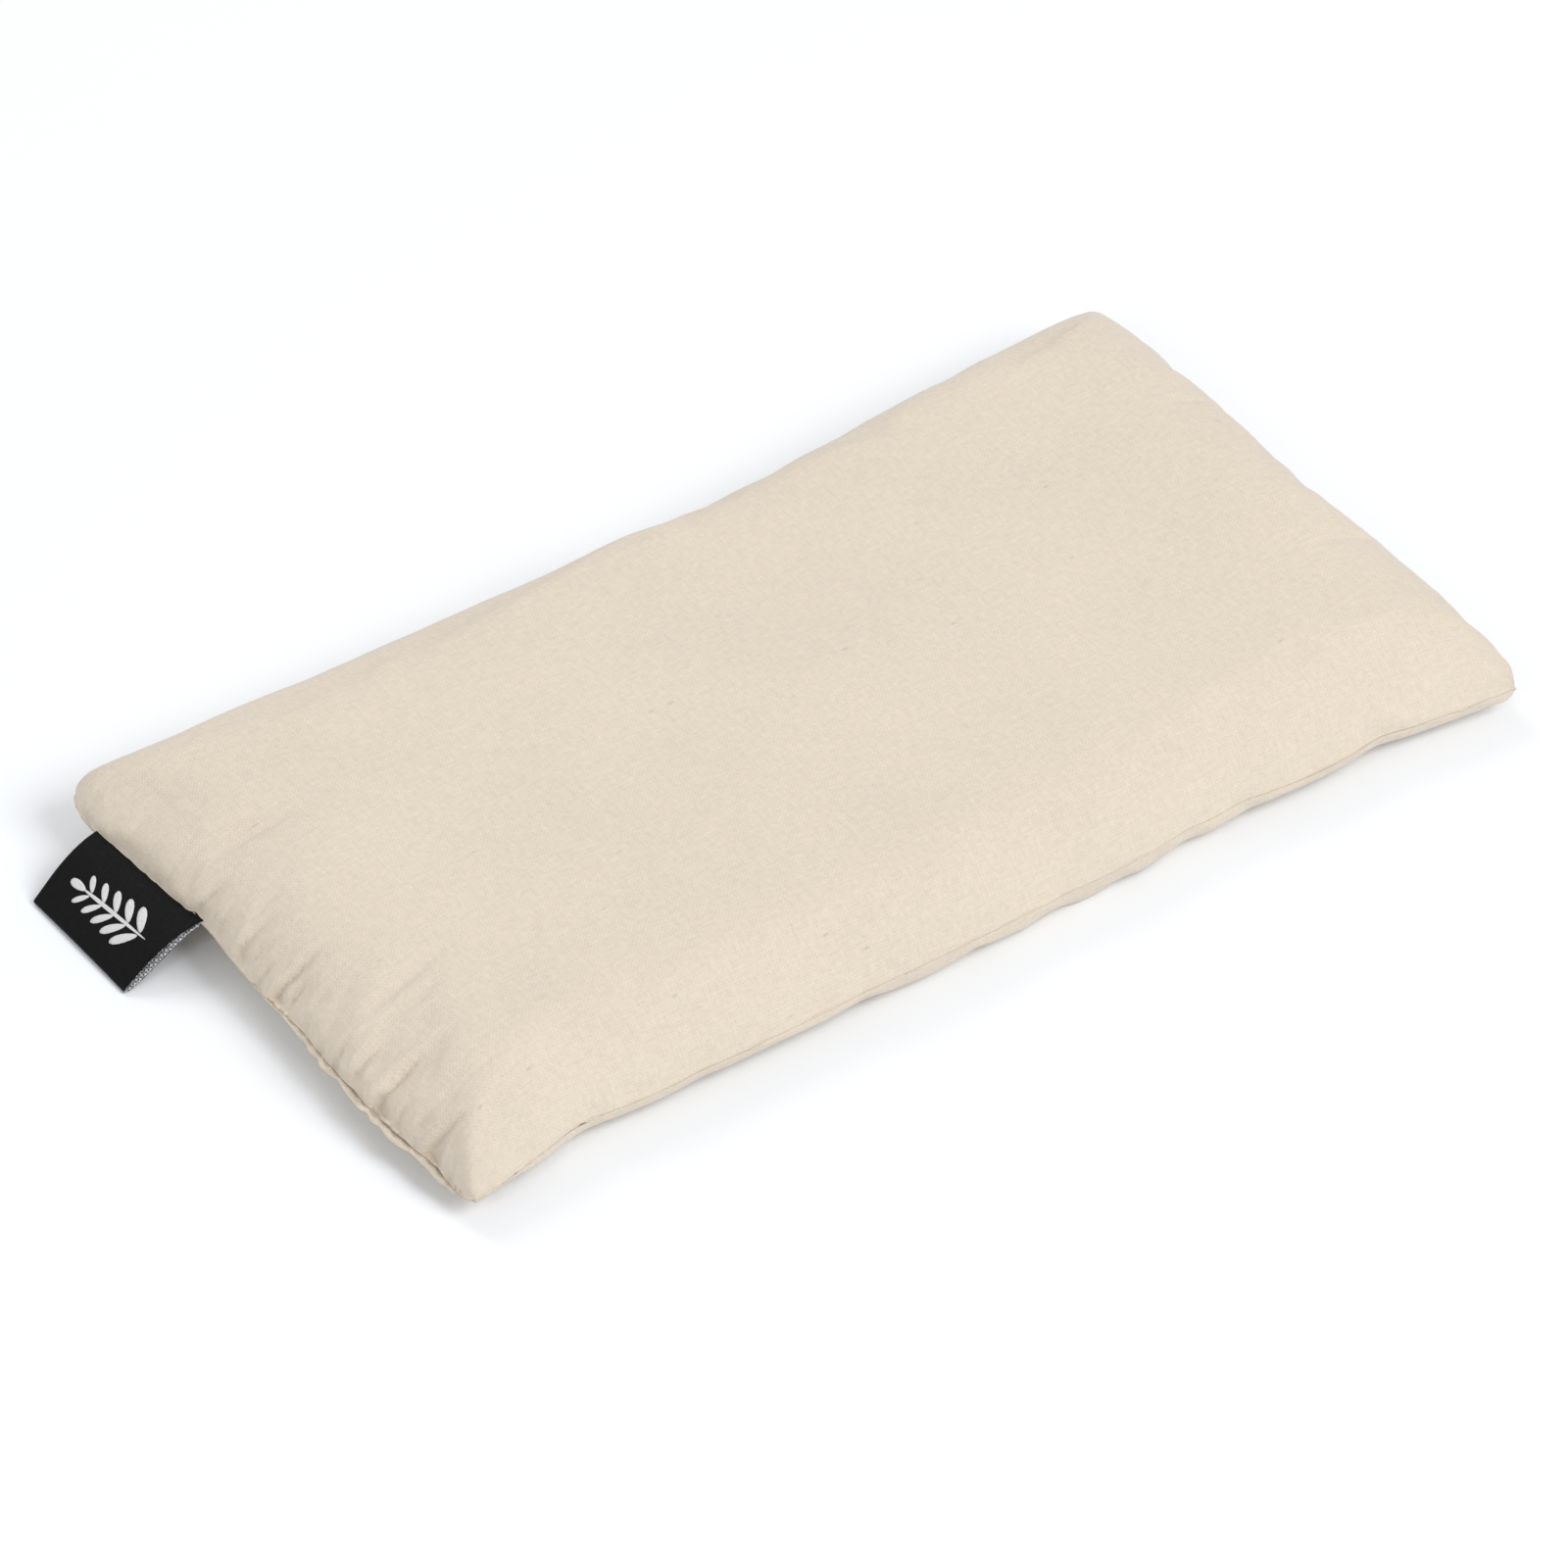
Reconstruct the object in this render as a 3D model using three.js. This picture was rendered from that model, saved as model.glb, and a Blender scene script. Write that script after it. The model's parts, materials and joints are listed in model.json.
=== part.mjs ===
// Eye pillow: a flat cotton cover filled with an inner bag of loose linseed and lavender, with a
// folded woven label caught in the closing seam at one end.
//
// Millimetres, +Z up. The origin is the centre of the flat underside, on the surface that the
// pillow rests on. +X runs along the pillow, away from the label, and +Y across it.
//
// Every soft skin is described on one square sheet: s runs from -1 at the label end to +1 at the
// far end, and t from -1 at the right long side to +1 at the left long side. The skins lie inside
// one another, each a little smaller than the one around it.

import * as THREE from "three";

// Driving dimensions of the filled pillow
const LENGTH = 222;
const WIDTH = 121;
const THICKNESS = 21;
const CROWN = 1.5; // how much the middle of the upper side stands above its shoulders
const LEFT_SIDE_PULL = 6; // how far a side draws in between its corners
const RIGHT_SIDE_PULL = 3.5;
const FAR_END_PULL = 2.5;
const CORNER_CUT = 1.8; // how far each corner point is rounded off along X and along Y
const CORNER_SHARPNESS = 12; // power that keeps the rounding close to the corner
const UPPER_SHOULDER = 17; // distance from the seam to where the upper side levels out
const LOWER_SHOULDER = 12;

// Height of the seam above the surface
const SEAM_HEIGHT_SIDES = 4.5;
const SEAM_HEIGHT_LABEL_END = 7.9;
const SEAM_HEIGHT_FAR_END = 7;
const SEAM_LIFT_START = 0.55; // s beyond which the seam climbs towards an end

// Skins, threads and clearances
const COVER_SKIN = 0.6;
const INNER_BAG_SKIN = 0.45;
const INNER_BAG_INSET = 5; // the inner bag is this much narrower than the cover on every side
const CLEARANCE = 0.35;
const SEAM_HALF_GAP = 0.75; // half of the gap between the upper and lower panel at the seam
const THREAD_RADIUS = 0.15;
const THREAD_SIDES = 6;
const THREAD_DROP = 0.3; // the thread runs this far below the seam's middle, under the label
const THREAD_INSET = 1.5; // from the seam's edge to the row of stitches
const FILL_SETTLING = 2; // the loose seeds stop this far short of the inner bag's stitches
const SEAM_THREAD_STEPS = 66;
const CLOSING_THREAD_STEPS = 20;

// Folded woven label
const LABEL_WIDTH = 29;
const LABEL_CENTRE_Y = 32.5;
const LABEL_PLY = 0.35; // thickness of the ribbon
const LABEL_REACH = 13.2; // how far the free loop stands out
const LABEL_DROP = 6.8; // how far the fold hangs below the seam
const LABEL_RISE = 1.7; // how far the loop arches above the straight line to its fold
const LABEL_OPENING = 1; // widest gap between the two plies
const LABEL_PINCH = 0.1; // gap between the plies where they leave the seam
const LABEL_STEPS = 8;
const LABEL_ROOT_DEPTH = 8.4; // length of ribbon caught in the seam, with what shows outside it
const LABEL_ROOT_THICKNESS = 0.35;
const LABEL_ROOT_LIFT = 0.1; // underside of the caught ribbon above the seam's middle
const LABEL_ROOT_PROUD = 2.8; // caught ribbon showing outside the seam
const LABEL_JOINT_GAP = 0.7; // space about the flap's bending line

// Sheet divisions
const STEPS_ALONG = 22;
const STEPS_ACROSS = 14;

const HALF_LENGTH = LENGTH / 2;
const HALF_WIDTH = WIDTH / 2;
const UP = 1;
const DOWN = -1;

// A skin layer: how far it lies inside the cover's outer face, in plan and in height, and how far
// its rim stands off the middle of the seam.
const COVER_OUTER = { inset: 0, depth: 0, rim: SEAM_HALF_GAP + COVER_SKIN };
const COVER_INNER = { inset: COVER_SKIN, depth: COVER_SKIN, rim: SEAM_HALF_GAP };
const BAG_OUTER = {
  inset: INNER_BAG_INSET,
  depth: COVER_SKIN + CLEARANCE,
  rim: SEAM_HALF_GAP + INNER_BAG_SKIN,
};
const BAG_INNER = {
  inset: INNER_BAG_INSET + INNER_BAG_SKIN,
  depth: BAG_OUTER.depth + INNER_BAG_SKIN,
  rim: SEAM_HALF_GAP,
};
const FILL = {
  inset: INNER_BAG_INSET + THREAD_INSET + FILL_SETTLING,
  depth: BAG_INNER.depth + CLEARANCE,
  rim: 0.2,
};

// Where sheet point (s, t) of a layer lies in plan
function planPoint(s, t, inset) {
  const sidePull = t > 0 ? LEFT_SIDE_PULL : RIGHT_SIDE_PULL;
  const endPull = s > 0 ? FAR_END_PULL : 0;
  const cornerCut = CORNER_CUT * (s * t) ** CORNER_SHARPNESS;
  const x = s * (HALF_LENGTH - inset - endPull * (1 - t * t)) - Math.sign(s) * cornerCut;
  const y = t * (HALF_WIDTH - inset - sidePull * (1 - s * s)) - Math.sign(t) * cornerCut;
  return [x, y];
}

// Height of the middle of the seam, raised at both ends and most of all at the label end
function seamHeight(s, t) {
  const endLift = THREE.MathUtils.smoothstep(Math.abs(s), SEAM_LIFT_START, 1);
  const endHeight = s < 0 ? SEAM_HEIGHT_LABEL_END : SEAM_HEIGHT_FAR_END;
  const awayFromRightSide = THREE.MathUtils.smoothstep(t, -1, 0);
  return SEAM_HEIGHT_SIDES + (endHeight - SEAM_HEIGHT_SIDES) * endLift * awayFromRightSide;
}

// A quarter-round rise from 0 at the edge to 1 at the shoulder
function roundedRise(distance, shoulder) {
  const remaining = 1 - Math.min(distance / shoulder, 1);
  return Math.sqrt(1 - remaining * remaining);
}

// How full the pillow is at (s, t), from 0 on the seam to 1 inside the shoulders
function fullness(s, t, shoulder) {
  const toEnd = HALF_LENGTH * (1 - Math.abs(s));
  const toSide = HALF_WIDTH * (1 - Math.abs(t));
  return roundedRise(toEnd, shoulder) * roundedRise(toSide, shoulder);
}

// Point (s, t) of a layer on its upper or lower side
function skinPoint(s, t, layer, side) {
  const [x, y] = planPoint(s, t, layer.inset);
  const rim = seamHeight(s, t) + side * layer.rim;
  if (side === DOWN) {
    return [x, y, THREE.MathUtils.lerp(rim, layer.depth, fullness(s, t, LOWER_SHOULDER))];
  }
  const crown = CROWN * (1 - s * s) * (1 - t * t);
  const top = THICKNESS - CROWN + crown - layer.depth;
  return [x, y, THREE.MathUtils.lerp(rim, top, fullness(s, t, UPPER_SHOULDER))];
}

// Sheet coordinates from -1 to 1, closer together near both edges where the skin is round
function sheetStops(steps) {
  return Array.from({ length: steps + 1 }, (_, i) => Math.sin((Math.PI / 2) * ((2 * i) / steps - 1)));
}

// A closed solid between two faces of the same sheet, the first above the second
function solidBetween(upperFace, lowerFace) {
  const stopsAlong = sheetStops(STEPS_ALONG);
  const stopsAcross = sheetStops(STEPS_ACROSS);
  const corners = [];
  for (const face of [upperFace, lowerFace]) {
    for (const s of stopsAlong) {
      for (const t of stopsAcross) corners.push(...face(s, t));
    }
  }
  const columns = STEPS_ACROSS + 1;
  const faceSize = (STEPS_ALONG + 1) * columns;
  const upper = (i, j) => i * columns + j;
  const lower = (i, j) => faceSize + upper(i, j);
  const triangles = [];
  const addQuad = (a, b, c, d) => triangles.push(a, b, c, a, c, d);
  for (let i = 0; i < STEPS_ALONG; i += 1) {
    for (let j = 0; j < STEPS_ACROSS; j += 1) {
      addQuad(upper(i, j), upper(i + 1, j), upper(i + 1, j + 1), upper(i, j + 1));
      addQuad(lower(i, j), lower(i, j + 1), lower(i + 1, j + 1), lower(i + 1, j));
    }
    addQuad(lower(i, 0), lower(i + 1, 0), upper(i + 1, 0), upper(i, 0));
    const last = STEPS_ACROSS;
    addQuad(upper(i, last), upper(i + 1, last), lower(i + 1, last), lower(i, last));
  }
  for (let j = 0; j < STEPS_ACROSS; j += 1) {
    const last = STEPS_ALONG;
    addQuad(upper(0, j), upper(0, j + 1), lower(0, j + 1), lower(0, j));
    addQuad(lower(last, j), lower(last, j + 1), upper(last, j + 1), upper(last, j));
  }
  const geometry = new THREE.BufferGeometry();
  geometry.setAttribute("position", new THREE.Float32BufferAttribute(corners, 3));
  geometry.setIndex(triangles);
  geometry.computeVertexNormals();
  return geometry;
}

// One fabric panel: the thin shell between an outer and an inner layer on one side of the seam
function panelGeometry(outer, inner, side) {
  const outerFace = (s, t) => skinPoint(s, t, outer, side);
  const innerFace = (s, t) => skinPoint(s, t, inner, side);
  return side === UP ? solidBetween(outerFace, innerFace) : solidBetween(innerFace, outerFace);
}

// The loose filling, which takes up the whole inside of the inner bag
function fillGeometry() {
  return solidBetween(
    (s, t) => skinPoint(s, t, FILL, UP),
    (s, t) => skinPoint(s, t, FILL, DOWN),
  );
}

// A row of stitches along the seam, drawn as one thread through a run of sheet points
function threadGeometry(sheetPoints, seamInset, steps) {
  const path = new THREE.CatmullRomCurve3(
    sheetPoints.map(([s, t]) => {
      const [x, y] = planPoint(s, t, seamInset + THREAD_INSET);
      return new THREE.Vector3(x, y, seamHeight(s, t) - THREAD_DROP);
    }),
  );
  const section = new THREE.Shape();
  for (let i = 0; i < THREAD_SIDES; i += 1) {
    const angle = (2 * Math.PI * i) / THREAD_SIDES;
    const x = THREAD_RADIUS * Math.cos(angle);
    const y = THREAD_RADIUS * Math.sin(angle);
    if (i === 0) section.moveTo(x, y);
    else section.lineTo(x, y);
  }
  section.closePath();
  return new THREE.ExtrudeGeometry(section, { steps, bevelEnabled: false, extrudePath: path });
}

// The seam sewn first: right side, round the far end, and back along the left side
function threeSidedRun() {
  const stops = sheetStops(STEPS_ALONG).slice(1);
  const across = sheetStops(STEPS_ACROSS).slice(1, -1);
  const rightSide = stops.map((s) => [s, -1]);
  const farEnd = across.map((t) => [1, t]);
  const leftSide = stops.map((s) => [s, 1]).reverse();
  return [...rightSide, ...farEnd, ...leftSide];
}

// The seam sewn last, after filling: straight across the label end
function closingRun() {
  return sheetStops(STEPS_ACROSS)
    .slice(1, -1)
    .map((t) => [-1, t]);
}

const LABEL_ROOT_HEIGHT = SEAM_HEIGHT_LABEL_END + LABEL_ROOT_LIFT + LABEL_ROOT_THICKNESS / 2;

// The ribbon ends caught between the two cover panels, under the closing stitches
function labelRootGeometry() {
  const geometry = new THREE.BoxGeometry(LABEL_ROOT_DEPTH, LABEL_WIDTH, LABEL_ROOT_THICKNESS);
  const middleX = -HALF_LENGTH - LABEL_ROOT_PROUD + LABEL_ROOT_DEPTH / 2;
  geometry.translate(middleX, LABEL_CENTRE_Y, LABEL_ROOT_HEIGHT);
  return geometry;
}

// Middle line of the free label, from 0 at the seam to 1 at the fold, as (X, Z)
function labelLine(along) {
  const x = -HALF_LENGTH - LABEL_ROOT_PROUD - LABEL_JOINT_GAP - LABEL_REACH * along;
  const z = LABEL_ROOT_HEIGHT - LABEL_DROP * along + LABEL_RISE * Math.sin(Math.PI * along);
  return new THREE.Vector2(x, z);
}

// Section of the folded loop: out along the upper ply, round the fold, back along the lower ply.
// The plies touch at the seam and stand a little apart before the fold.
function labelSection() {
  const outerPoints = [];
  const innerPoints = [];
  for (let i = 0; i <= LABEL_STEPS; i += 1) {
    const along = i / LABEL_STEPS;
    const here = labelLine(along);
    const ahead = labelLine(along + 0.01).sub(here).normalize();
    const up = new THREE.Vector2(ahead.y, -ahead.x);
    const opening = THREE.MathUtils.lerp(LABEL_PINCH, LABEL_OPENING, Math.sin(Math.PI * along * 0.8));
    const halfOpening = opening / 2;
    outerPoints.push({ here, up, reach: halfOpening + LABEL_PLY });
    innerPoints.push({ here, up, reach: halfOpening });
  }
  const onSide = (points, side) =>
    points.map(({ here, up, reach }) => here.clone().addScaledVector(up, side * reach));
  const foldTip = labelLine(1 + (LABEL_OPENING / 2 + LABEL_PLY) / LABEL_REACH);
  const foldInside = labelLine(1 + LABEL_OPENING / 4 / LABEL_REACH);
  return new THREE.Shape([
    ...onSide(outerPoints, UP),
    foldTip,
    ...onSide(outerPoints, DOWN).reverse(),
    ...onSide(innerPoints, DOWN),
    foldInside,
    ...onSide(innerPoints, UP).reverse(),
  ]);
}

// The free part of the label, which flaps about the seam
function labelLoopGeometry() {
  const geometry = new THREE.ExtrudeGeometry(labelSection(), {
    depth: LABEL_WIDTH,
    bevelEnabled: false,
  });
  geometry.rotateX(Math.PI / 2);
  geometry.translate(0, LABEL_CENTRE_Y + LABEL_WIDTH / 2, 0);
  return geometry;
}

function fabricMaterial(colour, roughness) {
  return new THREE.MeshStandardMaterial({ color: colour, roughness, metalness: 0 });
}

const coverCotton = () => fabricMaterial(0xe5d9c8, 0.92);
const innerCotton = () => fabricMaterial(0xeee8dc, 0.95);
const sewingThread = () => fabricMaterial(0xdccfba, 0.7);
const linseed = () => fabricMaterial(0x6e4a2c, 0.6);
const labelRibbon = () => fabricMaterial(0x18181a, 0.8);

function namedMesh(name, geometry, material) {
  const mesh = new THREE.Mesh(geometry, material);
  mesh.name = name;
  return mesh;
}

function buildCover() {
  const cover = new THREE.Group();
  cover.add(
    namedMesh("cover_top_panel", panelGeometry(COVER_OUTER, COVER_INNER, UP), coverCotton()),
    namedMesh("cover_bottom_panel", panelGeometry(COVER_OUTER, COVER_INNER, DOWN), coverCotton()),
    namedMesh(
      "cover_seam_thread",
      threadGeometry(threeSidedRun(), 0, SEAM_THREAD_STEPS),
      sewingThread(),
    ),
    namedMesh(
      "closing_seam_thread",
      threadGeometry(closingRun(), 0, CLOSING_THREAD_STEPS),
      sewingThread(),
    ),
  );
  return cover;
}

function buildInnerBag() {
  const innerBag = new THREE.Group();
  innerBag.add(
    namedMesh("inner_bag_top_panel", panelGeometry(BAG_OUTER, BAG_INNER, UP), innerCotton()),
    namedMesh("inner_bag_bottom_panel", panelGeometry(BAG_OUTER, BAG_INNER, DOWN), innerCotton()),
    namedMesh(
      "inner_bag_seam_thread",
      threadGeometry(threeSidedRun(), INNER_BAG_INSET, SEAM_THREAD_STEPS),
      sewingThread(),
    ),
    namedMesh(
      "inner_bag_closing_thread",
      threadGeometry(closingRun(), INNER_BAG_INSET, CLOSING_THREAD_STEPS),
      sewingThread(),
    ),
    namedMesh("seed_fill", fillGeometry(), linseed()),
  );
  return innerBag;
}

function buildLabel() {
  const label = new THREE.Group();
  label.add(
    namedMesh("label_root", labelRootGeometry(), labelRibbon()),
    namedMesh("label_loop", labelLoopGeometry(), labelRibbon()),
  );
  return label;
}

const eyePillow = new THREE.Group();
eyePillow.add(buildCover(), buildInnerBag(), buildLabel());

export default eyePillow;
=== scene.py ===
"""Eye pillow: a seed-filled cotton cushion with a folded woven label in its closing seam.

Everything is in metres in the CAD part's frame: +X runs from the label end to the far end, +Y
across, and +Z up from the surface that the pillow rests on. The near side is the long side at
-Y, and the far side is at +Y. As in the CAD part, a panel is laid out on a sheet of (s, t)
coordinates: s from -1 at the label end to 1 at the far end, t from -1 near to 1 far.
"""
import json
import math
import random
from functools import reduce

import bmesh
import bpy
import numpy as np
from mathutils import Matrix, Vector, noise


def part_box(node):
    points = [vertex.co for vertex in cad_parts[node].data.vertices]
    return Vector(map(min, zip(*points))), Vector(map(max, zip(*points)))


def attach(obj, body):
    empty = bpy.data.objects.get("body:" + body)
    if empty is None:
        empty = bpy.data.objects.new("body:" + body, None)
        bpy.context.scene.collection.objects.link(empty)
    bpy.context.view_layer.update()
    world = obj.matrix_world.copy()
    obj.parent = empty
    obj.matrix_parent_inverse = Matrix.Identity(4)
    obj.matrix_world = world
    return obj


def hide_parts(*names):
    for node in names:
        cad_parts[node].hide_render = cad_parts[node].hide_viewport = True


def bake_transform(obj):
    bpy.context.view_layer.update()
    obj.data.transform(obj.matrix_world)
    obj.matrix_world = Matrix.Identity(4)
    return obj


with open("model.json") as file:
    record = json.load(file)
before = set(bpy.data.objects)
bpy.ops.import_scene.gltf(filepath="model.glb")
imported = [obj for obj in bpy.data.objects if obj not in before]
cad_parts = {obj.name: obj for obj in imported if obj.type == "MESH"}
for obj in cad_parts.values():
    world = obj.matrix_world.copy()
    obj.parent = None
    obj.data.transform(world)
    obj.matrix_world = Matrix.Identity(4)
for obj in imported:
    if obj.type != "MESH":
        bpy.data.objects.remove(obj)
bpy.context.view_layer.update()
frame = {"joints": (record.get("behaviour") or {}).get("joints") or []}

MM = 0.001

# Places taken from the CAD frame
TOP_LOW, TOP_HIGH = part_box("cover_top_panel")
LOOP_LOW, LOOP_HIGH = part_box("label_loop")
ROOT_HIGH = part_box("label_root")[1]
INNER_LOW, INNER_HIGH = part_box("inner_bag_top_panel")
FILL_LOW, FILL_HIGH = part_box("seed_fill")
HINGE = Vector(frame["joints"][0]["pos_m"])
THICKNESS = TOP_HIGH.z
HALF_LENGTH = (TOP_HIGH.x - TOP_LOW.x) / 2

# Outline of the cover in plan
LABEL_END_WIDTHS = (61.6 * MM, 58.6 * MM)  # half widths to the near side and to the far side
FAR_END_WIDTHS = (60.7 * MM, 60.4 * MM)
# Depth in the middle, and power of the curve, where a side draws in and the label end bows out
NEAR_PULL = (3.3 * MM, 8)
FAR_PULL = (3.7 * MM, 1.5)
LABEL_END_BOW = (1.6 * MM, 4)
LABEL_END_SHORT = 0.3 * MM  # how far short of the CAD panel's end its corners stop
# Place along Y, depth and half width, in mm; where the depth is negative the end bulges out
LABEL_END_TUCKS = [(-47, 1.5, 5), (-12, 0.9, 6), (17, 1.7, 9), (50, -1.7, 9)]
FAR_END_SHORT = 1.6 * MM  # the same for the whole far end
SHEAR = 0.041  # the filled bag lies a little out of square
SHEAR_CHANGE = 0.007  # more so at the far end than at the label end
# How far each corner (end, side) is rounded off along X and Y, and over what distance
CORNER_CUTS = {(-1, 1): 1.1 * MM, (-1, -1): 1.2 * MM, (1, -1): 1.3 * MM, (1, 1): 1.9 * MM}
CORNER_REACH = 3.2 * MM

# Tucks that the side seams' thread draws in: place along X, depth and half width, in mm
NEAR_TUCKS = [(-84, 1.9, 7), (-61, 0.5, 3), (-28, 0.4, 3), (14, 0.4, 3), (40, 1.2, 5), (52, 1.6, 6),
              (81, 1.7, 5)]
FAR_TUCKS = [(-92, 0.6, 6), (-66, 0.4, 4), (5, 0.4, 5), (18, 2.2, 24), (27, 0.4, 4),
             (45, 0.3, 4), (70, 0.4, 4)]

# Section of the filled cover
CROWN = 1.4 * MM
# Profile of the cloth from a seam to the flat: powers of plan distance and of height, and how far
# it bulges out past the seam. The lifted one slopes evenly from the seam, like a boat's bow.
ROUND = (3, 2, 0)
BULGED = (3, 2, 1.2 * MM)
LIFTED = (1.5, 1, 0)
# Reach in plan and form of that profile, at the low and high end of each sheet axis
SHOULDERS = {
    1: {"along": [(27 * MM, ROUND), (19 * MM, ROUND)], "across": [(21 * MM, ROUND), (13 * MM, ROUND)]},
    -1: {"along": [(25 * MM, LIFTED), (14 * MM, ROUND)], "across": [(9 * MM, BULGED), (14 * MM, ROUND)]},
}
# How plump each corner (end, side) is: a low number pinches it, a high one squares it off
CORNER_FULLNESS = {(-1, 1): 1.7, (-1, -1): 1.2, (1, -1): 0.62, (1, 1): 1.7}
NEAR_SEAM_HEIGHT = 6.2 * MM
FAR_SIDE_SEAM_HEIGHT = 4.8 * MM
NEAR_CORNER_DROP = 1.8 * MM
LABEL_SEAM_HEIGHT = HINGE.z
FAR_END_SEAM_HEIGHT = 7 * MM
# Sheet coordinates between which the seam changes height
LIFT_START = 0.55  # towards either end
LABEL_LIFT_FULL = 0.3  # across, from the near side
FAR_LIFT_FULL = 0
CORNER_DROP_START = (0.8, 0.4)  # along and across

# Cloth divisions: finer across, where the gathers of the closing seam need them
CELLS = (108, 150)
INNER_CELLS = (74, 42)
FILL_CELLS = (210, 112)

# Cloth simulation
SIM_FRAMES = 20
CLOTH_SETTINGS = {
    "quality": 6,
    "mass": 0.3,
    "tension_stiffness": 25,
    "compression_stiffness": 25,
    "shear_stiffness": 8,
    "bending_stiffness": 0.3,
    "air_damping": 2,
    "shrink_min": -0.022,  # the cloth is cut this much larger than the filled shape
    "use_pressure": True,
    "uniform_pressure_force": 4,
}
SIM_REACH = 38 * MM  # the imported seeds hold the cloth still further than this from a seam
SIM_CAP = 1.2 * MM  # the cloth settles no further than this

# Sewing. Each edge is a list of (outward, away from the seam's middle) places, in mm
CLOTH_THICKNESS = 0.25 * MM
ALLOWANCE = 6 * MM  # cloth turned in at a seam
TURNED_EDGE = [(0, 0.1), (0.03, 0.08), (0.0, 0.05), (-0.12, 0.03), (-1.2, 0.02)]
FOLDED_EDGE = [(0, 0.42), (0.22, 0.36), (0.34, 0.18), (0.27, 0.03), (-1.2, 0.02)]
RING_CLOTH = 0.3 * MM  # flat cloth that each ring of an edge adds
CLOSING_END = 0.97  # sheet coordinate where the closing seam gives way to the side seam
LIP_REACH = 1.4 * MM  # the lower edge stands out of the closing seam on its near half
LIP_WINDOW = (-59, -50, -22, 2)  # places along Y where it starts, is full, fades and ends, in mm
LIP_LOBE = 6.5 * MM
LIP_DRIFT = (9 * MM, 0.8)  # size and strength of the noise that makes the lobes uneven
SLIT_OPENINGS = [(-29.3, 1.5), (-38.8, 0.8), (-42.2, 2.2), (-51.7, 1.6)]  # place along Y, half length
SLIT_HEIGHT = 0.5 * MM
STITCH_LENGTH = 2.1 * MM
STITCH_GAP = 0.7 * MM
THREAD_RADIUS = 0.14 * MM
THREAD_TIP = 0.35  # radius of a stitch's ends, as a share of the thread's
# How deep a stitch lies in the cloth, from end to end, in thread diameters
STITCH_DIP = [1, 0.3, 0, 0, 0.3, 1]


def smooth(value, low, high):
    """A smooth step from 0 at low to 1 at high."""
    x = np.clip((value - low) / (high - low), 0, 1)
    return x * x * (3 - 2 * x)


def mix(a, b, share):
    return a + (b - a) * share


# ---------------- shape of the cover


def shoulder_curve(shoulder, rise):
    """Cloth distance, plan distance and fullness from the seam over a shoulder."""
    reach, (plan_power, height_power, bulge) = shoulder
    angle = np.linspace(0, math.pi / 2, 64)
    plan = reach * (1 - np.cos(angle) ** (2 / plan_power)) - bulge * np.sin(2 * angle)
    full = np.sin(angle) ** (2 / height_power)
    steps = np.hypot(np.diff(plan), rise * np.diff(full))
    return np.concatenate([[0], np.cumsum(steps)]), plan, full


def sheet_axis(cells, half_size, shoulders, rise):
    """Sheet coordinate, fullness and cloth distance from the middle, for each grid line."""
    low, high = (shoulder_curve(shoulder, rise) for shoulder in shoulders)
    total = 2 * half_size - low[1][-1] - high[1][-1] + low[0][-1] + high[0][-1]
    along = np.linspace(0, total, cells + 1)
    position, filled = [], []
    for start, (cloth, plan, full), sign in ((along, low, -1), (total - along, high, 1)):
        distance = np.interp(start, cloth, plan) + np.maximum(start - cloth[-1], 0)
        position.append(sign * (1 - distance / half_size))
        filled.append(np.interp(start, cloth, full))
    first_half = along < total / 2
    coordinate = np.where(first_half, position[0], position[1])
    return coordinate, np.where(first_half, filled[0], filled[1]), along - total / 2


def tuck_depth(along, tucks):
    """How far a row of tucks draws a seam in at each place along it."""
    depth = np.zeros_like(along)
    for place, size, width in tucks:
        depth += size * MM / (1 + ((along / MM - place) / width) ** 2)
    return depth


def by_corner(s, t, values):
    """The value of the corner (end, side) that each sheet point is nearest to."""
    near = [(s * end >= 0) & (t * side >= 0) for end, side in values]
    return np.select(near, list(values.values()))


def bow(place, depth, power):
    """A curve over -1 to 1 with depth in its middle and 0 at both ends."""
    return depth * (1 - np.abs(place) ** power)


def edge_distances(s, t):
    """Rough distances along X and along Y to the nearest end and side."""
    return HALF_LENGTH * (1 - np.abs(s)), LABEL_END_WIDTHS[0] * (1 - np.abs(t))


def plan_xy(s, t, inset=0.0):
    """Plan position of sheet point (s, t), drawn in from the seam by inset."""
    label_half = HALF_LENGTH - LABEL_END_SHORT + bow(t, *LABEL_END_BOW)
    label_half -= tuck_depth(t * LABEL_END_WIDTHS[1], LABEL_END_TUCKS)
    x = s * (np.where(s < 0, label_half, HALF_LENGTH - FAR_END_SHORT) - inset)
    share = (s + 1) / 2
    near, far = (mix(LABEL_END_WIDTHS[i], FAR_END_WIDTHS[i], share) for i in (0, 1))
    near = near - bow(s, *NEAR_PULL) - tuck_depth(x, NEAR_TUCKS)
    far = far - bow(s, *FAR_PULL) - tuck_depth(x, FAR_TUCKS)
    y = t * (np.where(t < 0, near, far) - inset)
    cut = by_corner(s, t, CORNER_CUTS) * np.exp(-sum(edge_distances(s, t)) / CORNER_REACH)
    x = x - np.sign(s) * cut
    y = y - np.sign(t) * cut
    return x - (SHEAR + SHEAR_CHANGE * s) * y, y


def seam_places(s, t, inset):
    """Plan positions on a seam, and the direction outwards at each."""
    xy, further_in = (np.stack(plan_xy(s, t, depth), axis=-1) for depth in (inset, inset + MM))
    return xy, (xy - further_in) / MM


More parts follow.
